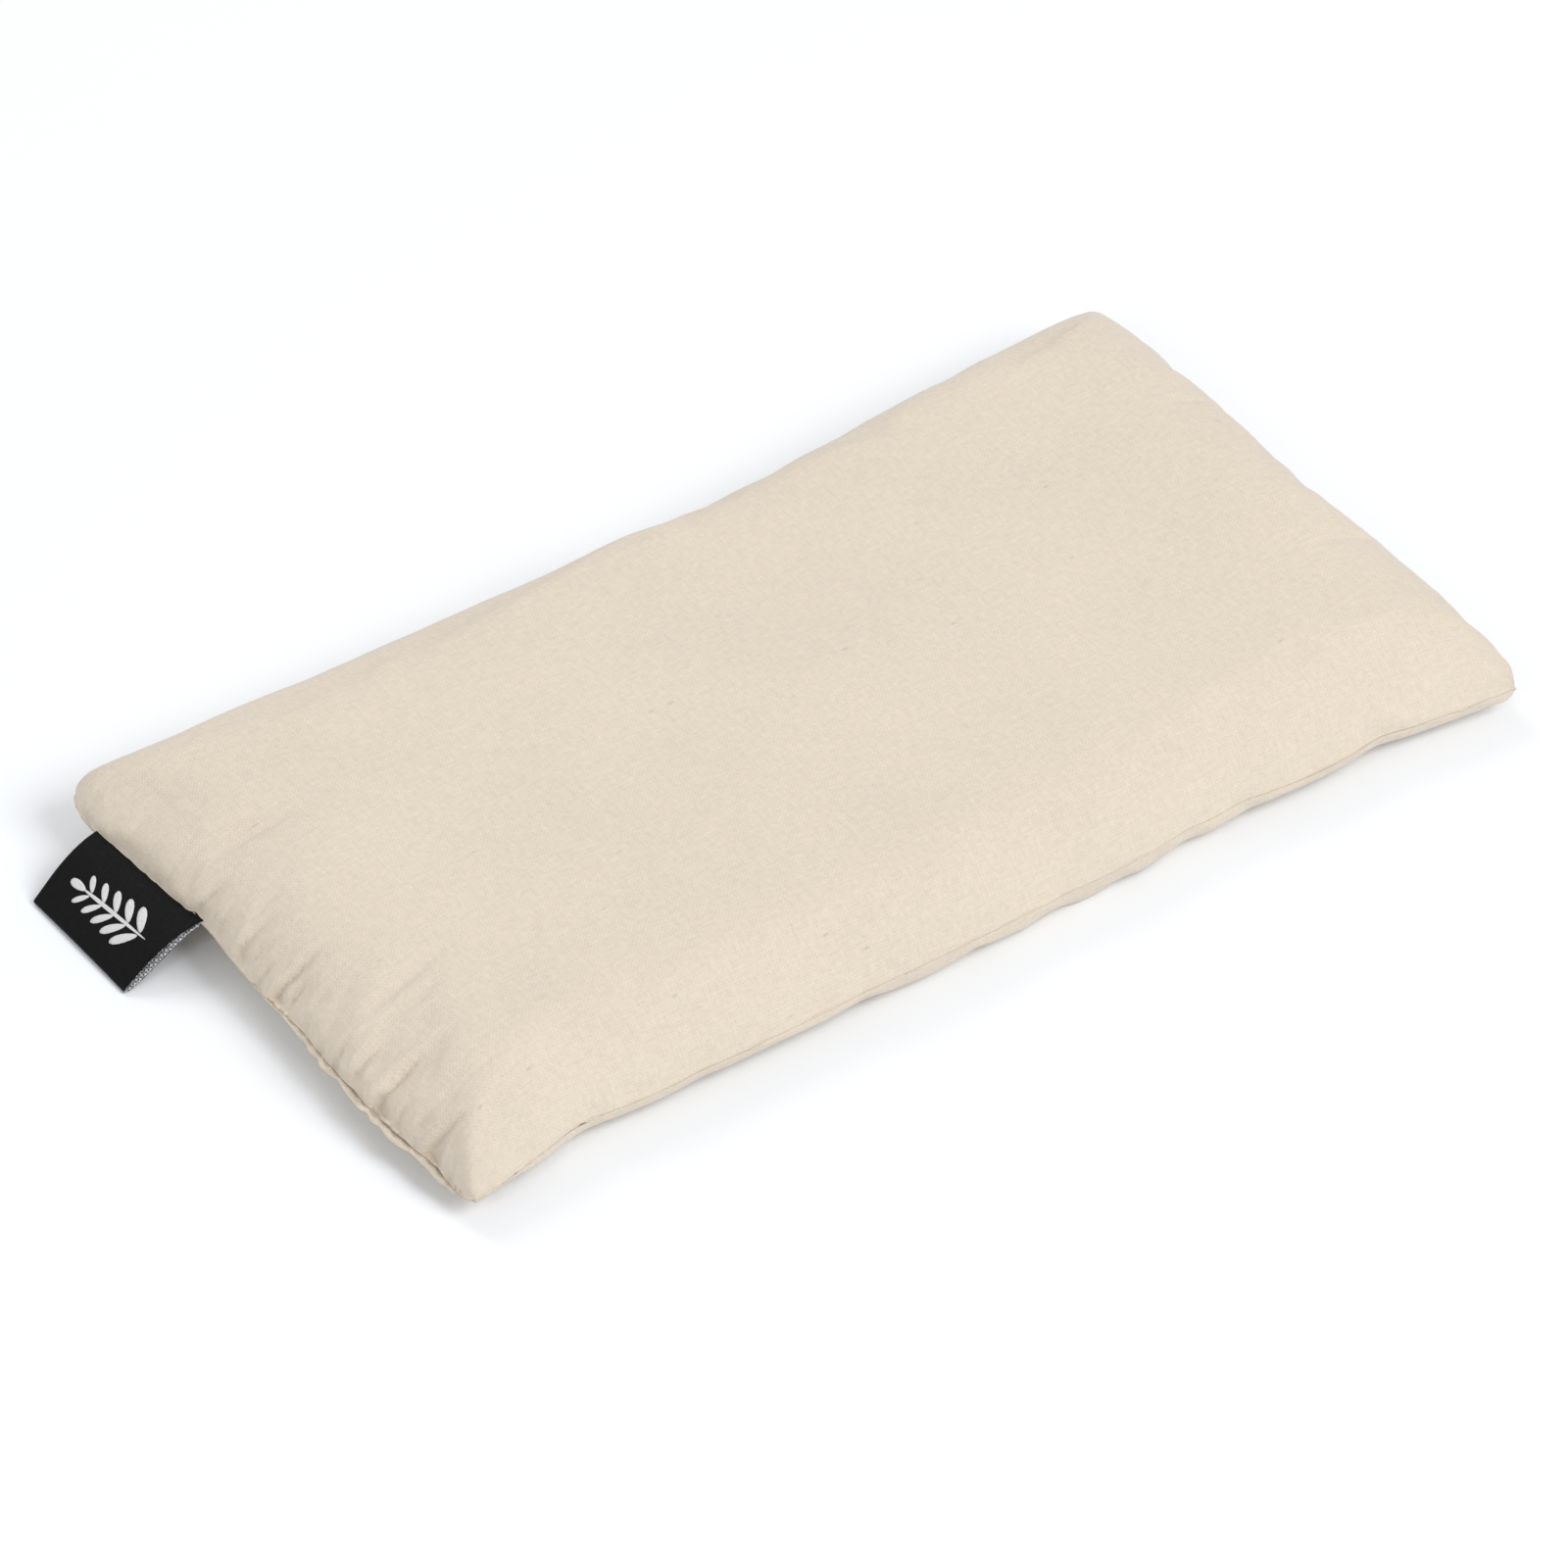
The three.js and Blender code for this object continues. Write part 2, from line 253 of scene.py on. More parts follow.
def seam_height(s, t):
    """Height of the seam: low along the sides, lifted at both ends, most of all at the label."""
    side = mix(NEAR_SEAM_HEIGHT, FAR_SIDE_SEAM_HEIGHT, smooth(t, -1, 1))
    drop_s, drop_t = CORNER_DROP_START
    side = side - NEAR_CORNER_DROP * smooth(-s, drop_s, 1) * smooth(-t, drop_t, 1)
    label_share = smooth(-s, LIFT_START, 1) * smooth(t, -1, LABEL_LIFT_FULL)
    far_share = smooth(s, LIFT_START, 1) * smooth(t, -1, FAR_LIFT_FULL)
    return mix(side, LABEL_SEAM_HEIGHT, label_share) + (FAR_END_SEAM_HEIGHT - side) * far_share


def fullness(full_s, full_t, s, t):
    """Fullness from that along each axis: both 1 in the middle, and 0 at a seam."""
    power = -by_corner(s, t, CORNER_FULLNESS)
    full_s, full_t = np.maximum(full_s, 1e-6), np.maximum(full_t, 1e-6)
    return (full_s**power + full_t**power - 1) ** (1 / power)


class Panel:
    """One panel on its grid: points [along, across, xyz] and flat cloth coordinates."""

    def __init__(self, side, cells, inset=0.0, drop=0.0):
        self.side = side
        self.inset = inset
        rise = THICKNESS - CROWN - NEAR_SEAM_HEIGHT if side > 0 else NEAR_SEAM_HEIGHT
        shoulders = SHOULDERS[side]
        s, full_s, u = sheet_axis(cells[0], HALF_LENGTH - inset, shoulders["along"], rise)
        half_width = sum(LABEL_END_WIDTHS) / 2 - inset
        t, full_t, v = sheet_axis(cells[1], half_width, shoulders["across"], rise)
        self.s, self.t = np.meshgrid(s, t, indexing="ij")
        self.cloth = np.stack(np.meshgrid(u, v, indexing="ij"), axis=-1)
        seam = seam_height(self.s, self.t)
        if side > 0:
            level = THICKNESS - drop - CROWN * (1 - (1 - self.s**2) * (1 - self.t**2))
        else:
            level = np.full_like(seam, drop)
        height = seam + (level - seam) * fullness(full_s[:, None], full_t[None, :], self.s, self.t)
        self.points = np.stack([*plan_xy(self.s, self.t, inset), height], axis=-1)
        self.numbers = np.arange(self.s.size).reshape(self.s.shape)

    def faces(self):
        return grid_faces(self.numbers, self.side > 0)

    def rim(self):
        """Grid places round the seam, in order, from the label end's near corner."""
        last_i, last_j = (count - 1 for count in self.s.shape)
        loop = [(i, 0) for i in range(last_i)]
        loop += [(last_i, j) for j in range(last_j)]
        loop += [(i, last_j) for i in range(last_i, 0, -1)]
        loop += [(0, j) for j in range(last_j, 0, -1)]
        return np.array(loop)

    def from_seam(self):
        """Rough distance of each point from the nearest seam."""
        return np.minimum(*edge_distances(self.s, self.t))


def grid_faces(numbers, upward):
    """Quads over a grid of vertex numbers, wound so that they face up or down."""
    corners = [numbers[:-1, :-1], numbers[1:, :-1], numbers[1:, 1:], numbers[:-1, 1:]]
    quads = np.stack(corners if upward else corners[::-1], axis=-1)
    return quads.reshape(-1, 4).tolist()


def tube_faces(numbers):
    """Faces of a closed tube over rings of vertex numbers, with a cap on each end."""
    band = grid_faces(np.column_stack([numbers, numbers[:, 0]]), False)
    return [*band, numbers[0].tolist()[::-1], numbers[-1].tolist()]


def new_object(name, vertices, faces):
    mesh = bpy.data.meshes.new(name)
    mesh.from_pydata([tuple(float(c) for c in v) for v in vertices], [], faces)
    mesh.update()
    mesh.shade_smooth()
    piece = bpy.data.objects.new(name, mesh)
    bpy.context.scene.collection.objects.link(piece)
    return piece


# ---------------- cloth simulation


def closed_bag(top, bottom):
    """One closed mesh of both panels, and the vertex of each place on the lower grid."""
    lower = top.numbers.copy()
    inside = top.from_seam() > 1e-9
    lower[inside] = lower.size + np.arange(inside.sum())
    vertices = [*top.points.reshape(-1, 3), *bottom.points[inside]]
    return new_object("simulated_bag", vertices, top.faces() + grid_faces(lower, False)), lower


def add_cloth(bag, pinned):
    group = bag.vertex_groups.new(name="pins")
    group.add([int(i) for i in pinned], 1.0, "REPLACE")
    modifier = bag.modifiers.new("Cloth", "CLOTH")
    for name, value in CLOTH_SETTINGS.items():
        setattr(modifier.settings, name, value)
    modifier.settings.vertex_group_mass = group.name
    modifier.settings.effector_weights.gravity = 0
    modifier.collision_settings.use_collision = False
    modifier.point_cache.frame_start = 1
    modifier.point_cache.frame_end = SIM_FRAMES


def simulate_bag(top, bottom):
    """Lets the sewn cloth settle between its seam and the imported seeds, and moves the panels."""
    bag, lower = closed_bag(top, bottom)
    held = (top.from_seam() > SIM_REACH) | (top.from_seam() < 1e-9)
    add_cloth(bag, np.unique(np.concatenate([top.numbers[held], lower[held]])))
    scene = bpy.context.scene
    scene.frame_start = 1
    scene.frame_end = SIM_FRAMES
    for step in range(1, SIM_FRAMES + 1):
        scene.frame_set(step)
    evaluated = bag.evaluated_get(bpy.context.evaluated_depsgraph_get())
    settled = np.array([v.co for v in evaluated.data.vertices])
    scene.frame_set(1)
    bpy.data.objects.remove(bag)
    for panel, vertices in ((top, top.numbers), (bottom, lower)):
        move = settled[vertices] - panel.points
        size = np.linalg.norm(move, axis=-1, keepdims=True)
        move *= SIM_CAP * np.tanh(size / SIM_CAP) / np.maximum(size, 1e-9)
        share = 1 - smooth(panel.from_seam(), 0.1 * SIM_REACH, SIM_REACH)
        panel.points += move * share[..., None]


# ---------------- cloth panels


def closing_share(s, t):
    """1 along the closing seam at the label end, 0 round the rest."""
    return smooth(-s, CLOSING_END, 1) * (1 - smooth(np.abs(t), CLOSING_END, 1))


def lip_reach(y):
    """How far the lower folded edge stands out, in lobes between the tightest stitches."""
    start, full, fading, end = (place * MM for place in LIP_WINDOW)
    window = smooth(y, start, full) * (1 - smooth(y, fading, end))
    size, strength = LIP_DRIFT
    drift = np.array([noise.noise(Vector((v / size, 3.3, 0))) for v in y])
    lobes = np.abs(np.sin(math.pi * (y / LIP_LOBE + strength * drift))) ** 0.6
    return LIP_REACH * window * (0.3 + 0.7 * lobes)


def slit_height(y):
    """Height of the gap under the upper folded edge, open between some of the stitches."""
    opening = np.zeros_like(y)
    for place, half_length in SLIT_OPENINGS:
        opening += np.exp(-(((y / MM - place) / half_length) ** 6))
    return SLIT_HEIGHT * np.minimum(opening, 1)


def edge_rings(panel, s, t, y):
    """Outward and upward offsets of each ring of the edge, from the seam's line inwards."""
    closing = closing_share(s, t)
    lip = lip_reach(y) * closing if panel.side < 0 else np.zeros_like(s)
    lift = slit_height(y) * closing if panel.side > 0 else np.zeros_like(s)
    rings = []
    for k, (turned, folded) in enumerate(zip(TURNED_EDGE, FOLDED_EDGE)):
        out = mix(turned[0], folded[0], closing) * MM
        rise = mix(turned[1], folded[1], closing) * MM
        on_edge = 0 < k < len(TURNED_EDGE) - 1
        rings.append((out + lip * on_edge, rise + lift))
    last_out, last_rise = rings[-1]
    rings.append((last_out - ALLOWANCE, last_rise))
    return rings


def cloth_panel(name, panel, material, detail=None):
    """A panel as a thin shell: its filled face, its edge and the allowance turned in."""
    rim = panel.rim()
    s, t = panel.s[rim[:, 0], rim[:, 1]], panel.t[rim[:, 0], rim[:, 1]]
    seam_xy, outward = seam_places(s, t, panel.inset)
    heights = seam_height(s, t)
    vertices = list(panel.points.reshape(-1, 3))
    cloth = list(panel.cloth.reshape(-1, 2))
    rim_cloth = panel.cloth[rim[:, 0], rim[:, 1]]
    faces = panel.faces()
    ring = panel.numbers[rim[:, 0], rim[:, 1]].tolist()
    for k, (out, rise) in enumerate(edge_rings(panel, s, t, seam_xy[:, 1])):
        points = np.column_stack([seam_xy + outward * out[:, None], heights + panel.side * rise])
        if k == 0:
            for place, point in zip(ring, points):
                vertices[place] = point
            continue
        start = len(vertices)
        vertices += list(points)
        cloth += list(rim_cloth + outward * k * RING_CLOTH)
        new_ring = list(range(start, start + len(ring)))
        band = np.array([ring + ring[:1], new_ring + new_ring[:1]])
        faces += grid_faces(band, panel.side > 0)
        ring = new_ring
    piece = new_object(name, vertices, faces)
    add_uv(piece, np.array(cloth))
    piece.data.materials.append(material)
    subdivide(piece)
    if detail:
        displace(piece, detail)
    thicken(piece, CLOTH_THICKNESS)
    return piece


def subdivide(piece):
    subdivision = piece.modifiers.new("Subdivision", "SUBSURF")
    subdivision.levels = subdivision.render_levels = 1
    apply_modifiers(piece)


def thicken(piece, thickness, inside_slot=0, edge_slot=0):
    """Gives a sheet its thickness on the inner side."""
    solid = piece.modifiers.new("Solidify", "SOLIDIFY")
    solid.thickness = thickness
    solid.offset = -1
    solid.material_offset = inside_slot
    solid.material_offset_rim = edge_slot
    apply_modifiers(piece)


def add_uv(piece, coordinates):
    """Adds the UV map "cloth", in metres over the flat cloth, from one place for each vertex."""
    layer = piece.data.uv_layers.new(name="cloth")
    corners = [corner.vertex_index for corner in piece.data.loops]
    layer.data.foreach_set("uv", coordinates[corners].ravel())


def displace(piece, detail):
    """Moves each vertex along its normal by detail(position, cloth coordinates)."""
    mesh = piece.data
    position = np.array([vertex.co for vertex in mesh.vertices])
    normal = np.array([vertex.normal for vertex in mesh.vertices])
    cloth = np.zeros((len(position), 2))
    corners = [corner.vertex_index for corner in mesh.loops]
    cloth[corners] = [corner.uv for corner in mesh.uv_layers["cloth"].data]
    position += normal * detail(position, cloth)[:, None]
    mesh.vertices.foreach_set("co", position.ravel())
    mesh.update()


def apply_modifiers(piece):
    graph = bpy.context.evaluated_depsgraph_get()
    mesh = bpy.data.meshes.new_from_object(piece.evaluated_get(graph), depsgraph=graph)
    old = piece.data
    piece.modifiers.clear()
    piece.data = mesh
    bpy.data.meshes.remove(old)
    mesh.name = piece.name


# Folds that rise from the closing seam: place along Y, depth, width of the gentle side, start and
# end distance up the cloth from the seam, and drift along Y on the way up, all in mm
MAIN_FOLDS = [
    (-53.5, 0.5, 1.8, 0, 9, -1),
    (-47.8, 1.6, 2.6, 0, 15, -4),
    (-43.5, 0.9, 2.0, 4, 13, -3),
    (-40.0, 0.4, 1.5, 1, 8, -1),
    (-34.8, 2.1, 4.2, 0, 19, -2),
    (-28.0, 1.4, 2.4, 2, 16, -2),
    (-22.5, 0.6, 1.8, 0, 10, -2),
    (-12.5, 0.7, 1.7, 6, 15, -2),
    (-7.3, 0.7, 1.6, 2, 13, -3),
    (-4.2, 1.6, 3.4, 0, 17, -3.3),
    (0.4, 0.9, 1.8, 0, 11, -2.5),
    (3.8, 0.7, 1.2, 3, 12, -2.5),
    (7.6, 1.4, 2.8, 1, 15, -3),
    (14.0, 0.7, 1.6, 1, 10, -2),
    (20.5, 1.1, 1.8, 0, 13, -3.5),
    (28.5, 0.6, 2.4, 1, 11, -2),
    (40.0, 0.5, 2.6, 1, 12, -1),
    (50.0, 0.5, 2.6, 0, 12, 1),
]
FOLD_STEEP_SIDE = 0.6  # width of a fold's steep side, in mm
FOLD_RIDGE = (2.5 * FOLD_STEEP_SIDE, 0.3)  # the ridge beside it: distance in mm, share of its depth
FOLD_EASE = 1.5  # a fold sets in over this much cloth on each side of its start, in mm
FOLD_FADE = 0.4  # it fades from this share of the way to its end
SMALL_FOLD_COUNT = 22
# A short ridge across the slope, in mm: distance up, place along Y, half length, width, height
CREASE = (15.5, 35, 9, 0.9, 0.28)
SWELL = (26 * MM, 5.0, 0.35 * MM)  # size, offset in the noise, depth
SWELL_EASE = (2 * MM, 20 * MM)  # distances from the seam over which it sets in
CRUMPLE = (8 * MM, 9.0, 0.09 * MM)
CRUMPLE_EASE = (2 * MM, 10 * MM)
CRUMPLE_FADE = (14 * MM, 34 * MM)


def small_folds():
    """Lesser folds at seeded random places, in the same form as MAIN_FOLDS."""
    draw = random.Random(11)
    folds = []
    for k in range(SMALL_FOLD_COUNT):
        place = -57 + 114 * (k + draw.uniform(0.15, 0.85)) / SMALL_FOLD_COUNT
        depth = (0.6 if place > 10 else 1.0) * draw.uniform(0.2, 0.5)
        folds.append((place, depth, draw.uniform(0.9, 1.8), 0, draw.uniform(5, 12), draw.uniform(-2, 0)))
    return folds


def fold_height(y, up, fold):
    """A fold leans over: a sharp valley, steep on its far side and gentle on its near side."""
    place, depth, gentle_side, start, end, drift = fold
    x = y - place - drift * up / end
    valley = np.exp(-np.abs(x) / np.where(x > 0, FOLD_STEEP_SIDE, gentle_side))
    ridge_distance, ridge_share = FOLD_RIDGE
    ridge = ridge_share * np.exp(-((x - ridge_distance) ** 2))
    strength = smooth(up, start - FOLD_EASE, start + FOLD_EASE) * (1 - smooth(up, FOLD_FADE * end, end))
    return depth * strength * (ridge - valley)


def crease_height(y, up):
    up_place, y_place, half_length, width, height = CREASE
    across = np.exp(-(((up - up_place) / width) ** 2))
    return height * across * np.exp(-(((y - y_place) / half_length) ** 4))


def noise_field(position, size, offset, depth):
    place = Vector((offset, 0, 0))
    return np.array([noise.noise(Vector(p) / size + place) for p in position]) * depth


def top_detail(position, cloth):
    """Folds at the closing seam, soft swells of the seeds and faint crumpling near the seams."""
    y = position[:, 1] / MM
    turned_in = len(FOLDED_EDGE) * RING_CLOTH
    up = (cloth[:, 0] - cloth[:, 0].min() - turned_in) / MM
    height = crease_height(y, up)
    for fold in MAIN_FOLDS + small_folds():
        height += fold_height(y, up, fold)
    half_cloth = np.abs(cloth).max(axis=0)
    from_seam = np.min(half_cloth - np.abs(cloth), axis=1)
    swell = noise_field(position, *SWELL) * smooth(from_seam, *SWELL_EASE)
    near_seam = smooth(from_seam, *CRUMPLE_EASE) * (1 - smooth(from_seam, *CRUMPLE_FADE))
    return height * MM + swell + noise_field(position, *CRUMPLE) * near_seam


# ---------------- stitches


class SeamLine:
    """A seam by distance: position and outward direction at any distance along it."""

    def __init__(self, corners, inset=0.0):
        steps = np.linspace(0, 1, 600)
        s = np.concatenate([mix(a[0], b[0], steps) for a, b in zip(corners, corners[1:])])
        t = np.concatenate([mix(a[1], b[1], steps) for a, b in zip(corners, corners[1:])])
        xy, self.outward = seam_places(s, t, inset)
        self.points = np.column_stack([xy, seam_height(s, t)])
        lengths = np.linalg.norm(np.diff(self.points, axis=0), axis=1)
        self.distance = np.concatenate([[0], np.cumsum(lengths)])

    def at(self, distance, out, rise):
        """Points at those distances, moved outward and up."""
        columns = [*self.points.T, *self.outward.T]
        x, y, z, out_x, out_y = (np.interp(distance, self.distance, c) for c in columns)
        return np.column_stack([x + out_x * out, y + out_y * out, z + rise])


def thread_tube(path, radius, sides=8):
    """Vertices and faces of a closed thread along a short path, pointed at both ends."""
    vertices = []
    tangents = np.gradient(path, axis=0)
    last = len(path) - 1
    for k, (point, tangent) in enumerate(zip(path, tangents)):
        along = Vector(tangent).normalized()
        across = along.cross(Vector((0, 0, 1))).normalized()
        up = across.cross(along)
        thickness = radius * (THREAD_TIP if k in (0, last) else 1)
        for n in range(sides):
            angle = 2 * math.pi * n / sides
            offset = across * math.cos(angle) + up * math.sin(angle)
            vertices.append(Vector(point) + offset * thickness)
    return vertices, tube_faces(np.arange(len(vertices)).reshape(-1, sides))


def stitch_row(name, line, out, rise, material, extra_paths=()):
    """A row of stitches along a seam line, each dipping into the cloth at both ends."""
    paths = list(extra_paths)
    dip = np.array(STITCH_DIP) * 2 * THREAD_RADIUS
    start = STITCH_GAP
    while start + STITCH_LENGTH < line.distance[-1]:
        distance = np.linspace(start, start + STITCH_LENGTH, len(dip))
        middle_y = line.at(distance[2:3], 0, 0)[:, 1]
        paths.append(line.at(distance, out(middle_y)[0] - dip, rise - 0.5 * dip))
        start += STITCH_LENGTH + STITCH_GAP
    vertices, faces = [], []
    for path in paths:
        new_vertices, new_faces = thread_tube(path, THREAD_RADIUS)
        faces += [[i + len(vertices) for i in face] for face in new_faces]
        vertices += new_vertices
    piece = new_object(name, vertices, faces)
    orient_outward(piece)
    piece.data.materials.append(material)
    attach(piece, "pillow")
    return piece


def clean(piece, operation):
    """Runs one bmesh operation on a piece."""
    shape = bmesh.new()
    shape.from_mesh(piece.data)
    operation(shape)
    shape.to_mesh(piece.data)
    shape.free()


def orient_outward(piece):
    clean(piece, lambda shape: bmesh.ops.recalc_face_normals(shape, faces=shape.faces))


def merge_seam(piece):
    clean(piece, lambda shape: bmesh.ops.remove_doubles(shape, verts=shape.verts, dist=1e-6))


# ---------------- materials


NOISE_SPAN = (0.3, 0.7)  # most of a noise texture's values lie in this range
COVER_COLOUR = (0.725, 0.635, 0.522)
INNER_COLOUR = (0.76, 0.72, 0.64)
THREAD_COLOUR = (0.62, 0.53, 0.42)
# Distances between yarns
COVER_PITCH = 0.4 * MM
INNER_PITCH = 0.32 * MM
WARP_PITCH = 0.3 * MM
WEFT_PITCH = 0.45 * MM
REVERSE_PITCH = 0.6 * MM
SEED_SLENDERNESS = 1.6  # length of a seed over its width


class Nodes:
    """A short way to write a material's node tree."""

    def __init__(self, name, **sockets):
        self.material = bpy.data.materials.new(name)
        self.material.use_nodes = True
        self.tree = self.material.node_tree
        self.shader = self.tree.nodes["Principled BSDF"]
        for socket, value in sockets.items():
            self.shader.inputs[socket.replace("_", " ")].default_value = value

    def add(self, kind, inputs=None, **settings):
        node = self.tree.nodes.new("ShaderNode" + kind)
        for name, value in settings.items():
            setattr(node, name, value)
        for key, value in (inputs or {}).items():
            if isinstance(value, bpy.types.NodeSocket):
                self.tree.links.new(value, node.inputs[key])
            else:
                node.inputs[key].default_value = value
        return node

    def math(self, operation, a, b=0.0):
        return self.add("Math", {0: a, 1: b}, operation=operation).outputs[0]

    def product(self, *values):
        return reduce(lambda a, b: self.math("MULTIPLY", a, b), values)

    def total(self, *values):
        return reduce(lambda a, b: self.math("ADD", a, b), values)

    def remap(self, value, source, target):
        inputs = {"Value": value, "From Min": source[0], "From Max": source[1],
                  "To Min": target[0], "To Max": target[1]}
        return self.add("MapRange", inputs).outputs[0]

    def vary(self, value, low, high):
        """Spreads a noise texture's usual values over low to high."""
        return self.remap(value, NOISE_SPAN, (low, high))

    def stretch(self, vector, scale):
        return self.add("VectorMath", {0: vector, 1: scale}, operation="MULTIPLY").outputs[0]

    def noise(self, vector, scale, detail=2.0, output="Fac"):
        inputs = {"Vector": vector, "Scale": scale, "Detail": detail}
        return self.add("TexNoise", inputs).outputs[output]

    def cloth_place(self, wander=0.0):
        """Place on the flat cloth in metres, with the threads wandering a little."""
        uv = self.add("UVMap", uv_map="cloth").outputs[0]
        if not wander:
            return uv
        drift = self.stretch(self.noise(uv, 90.0, output="Color"), (wander, wander, 0))
        return self.add("VectorMath", {0: uv, 1: drift}, operation="ADD").outputs[0]

    def tint(self, colour, shade):
        """Links the base colour to colour times shade."""
        tinted = self.add("VectorMath", {0: colour, "Scale": shade}, operation="SCALE")
        self.tree.links.new(tinted.outputs[0], self.shader.inputs["Base Color"])

    def roughness(self, value):
        self.tree.links.new(value, self.shader.inputs["Roughness"])

    def relief(self, height, depth, strength=1.0):
        bump = self.add("Bump", {"Height": height, "Distance": depth, "Strength": strength})
        self.tree.links.new(bump.outputs[0], self.shader.inputs["Normal"])


def plain_weave(nodes, place, pitch):
    """Height of a plain weave: warp and weft pass over each other in a chequer."""
    split = nodes.add("SeparateXYZ", {0: place})
    sines, cosines = [], []
    for axis in (0, 1):
        turn = nodes.math("MULTIPLY", split.outputs[axis], math.pi / pitch)
        sines.append(nodes.math("ABSOLUTE", nodes.math("SINE", turn)))
        cosines.append(nodes.math("COSINE", turn))
    return nodes.total(nodes.product(*cosines, 0.5), nodes.product(*sines))


def yarn_streaks(nodes, place):
    """Uneven yarns in both directions, from about 0.6 to 1.4."""
    streaks = []
    for stretch in ((240.0, 2600.0, 1.0), (2600.0, 240.0, 1.0)):
        streaks.append(nodes.noise(nodes.stretch(place, stretch), 1.0, 1.0))
    return nodes.total(*streaks)


def flecks(nodes, place, stretch, share, size):
    """1 on scattered short flecks of seed husk or thick yarn, 0 elsewhere."""
    cells = nodes.add("TexVoronoi", {"Vector": nodes.stretch(place, stretch), "Scale": 1.0})
    pick = nodes.add("TexWhiteNoise", {"Vector": cells.outputs["Position"]})
    chosen = nodes.math("GREATER_THAN", pick.outputs["Value"], 1 - share)
    inside = nodes.remap(cells.outputs["Distance"], (size, size * 0.5), (0, 1))
    return nodes.product(chosen, inside)


def cotton_material(name, colour, pitch):
    """Plain-woven natural cotton: uneven yarns, slubs, husk flecks and a soft nap."""
    nodes = Nodes(name, Sheen_Weight=0.3, Sheen_Roughness=0.5, Specular_IOR_Level=0.15)
    place = nodes.cloth_place(wander=0.4 * MM)
    weave = plain_weave(nodes, place, pitch)
    yarn = yarn_streaks(nodes, place)
    clouds = nodes.noise(place, 30.0, 4.0)
    grain = nodes.noise(place, 900.0, 3.0)
    husks = flecks(nodes, place, (330.0, 800.0, 1.0), 0.012, 0.3)
    slubs = flecks(nodes, place, (150.0, 1500.0, 1.0), 0.05, 0.34)
    shade = nodes.product(
        nodes.vary(clouds, 0.975, 1.02),
        nodes.remap(yarn, (0.7, 1.3), (0.955, 1.035)),
        nodes.vary(grain, 0.96, 1.033),
        nodes.remap(weave, (-0.4, 1.0), (0.965, 1.015)),
        nodes.math("SUBTRACT", 1.0, nodes.product(husks, 0.14)),
        nodes.total(1.0, nodes.product(slubs, 0.03)),
    )
    nodes.tint(colour, shade)
    nodes.roughness(nodes.remap(yarn, (0.7, 1.3), (0.97, 0.85)))
    height = nodes.total(weave, nodes.product(yarn, 0.8), nodes.product(grain, 0.7),
                         nodes.product(slubs, 0.8))
    nodes.relief(height, 0.06 * MM, 0.6)
    return nodes.material


def thread_material(name, colour):
    """Spun thread, twisted: fine slanting plies across each stitch."""
    nodes = Nodes(name, Sheen_Weight=0.3, Specular_IOR_Level=0.3)
    place = nodes.add("NewGeometry").outputs["Position"]
    twist = nodes.add("TexWave", {"Vector": place, "Scale": 900.0, "Distortion": 1.5})
    fibre = nodes.noise(place, 4000.0)
    shade = nodes.product(
        nodes.remap(twist.outputs["Fac"], (0, 1), (0.82, 1.05)),
        nodes.vary(fibre, 0.92, 1.06),
    )
    nodes.tint(colour, shade)
    nodes.roughness(nodes.vary(fibre, 0.75, 0.55))
    nodes.relief(twist.outputs["Fac"], 0.03 * MM)
    return nodes.material


def damask_material():
    """Black satin-woven ribbon: close warp ridges along it and fine weft lines across."""
    nodes = Nodes("label_damask", Sheen_Weight=0.05, Sheen_Roughness=0.4, Specular_IOR_Level=0.12)
    place = nodes.cloth_place()
    split = nodes.add("SeparateXYZ", {0: place})
    warp = nodes.math("SINE", nodes.math("MULTIPLY", split.outputs[1], 2 * math.pi / WARP_PITCH))
    weft = nodes.math("SINE", nodes.math("MULTIPLY", split.outputs[0], 2 * math.pi / WEFT_PITCH))
    floats = nodes.noise(nodes.stretch(place, (700.0, 4200.0, 1.0)), 1.0)
    lint = flecks(nodes, place, (900.0, 1400.0, 1.0), 0.006, 0.2)
    shade = nodes.product(
        nodes.vary(floats, 0.75, 1.3),
        nodes.remap(warp, (-1, 1), (0.85, 1.1)),
        nodes.total(1.0, nodes.product(lint, 3.0)),
    )
    nodes.tint((0.004, 0.004, 0.0044), shade)
    nodes.roughness(nodes.vary(floats, 0.72, 0.55))
    height = nodes.total(nodes.product(warp, 0.5), nodes.product(weft, 0.3), floats)
    nodes.relief(height, 0.03 * MM, 0.7)
    return nodes.material


def reverse_material():
    """Back of the ribbon: an open grey-white mesh of weft threads over the black ground."""
    nodes = Nodes("label_reverse", Specular_IOR_Level=0.2)
    place = nodes.cloth_place(wander=0.2 * MM)
    mesh = plain_weave(nodes, place, REVERSE_PITCH)
    fibre = nodes.noise(place, 1800.0)
    shade = nodes.product(
        nodes.remap(mesh, (0.15, 0.85), (1.0, 0.08)),
        nodes.vary(fibre, 0.8, 1.1),
    )
    nodes.tint((0.85, 0.86, 0.88), shade)
    nodes.roughness(nodes.vary(fibre, 0.9, 0.75))
    nodes.relief(mesh, 0.08 * MM)
    return nodes.material


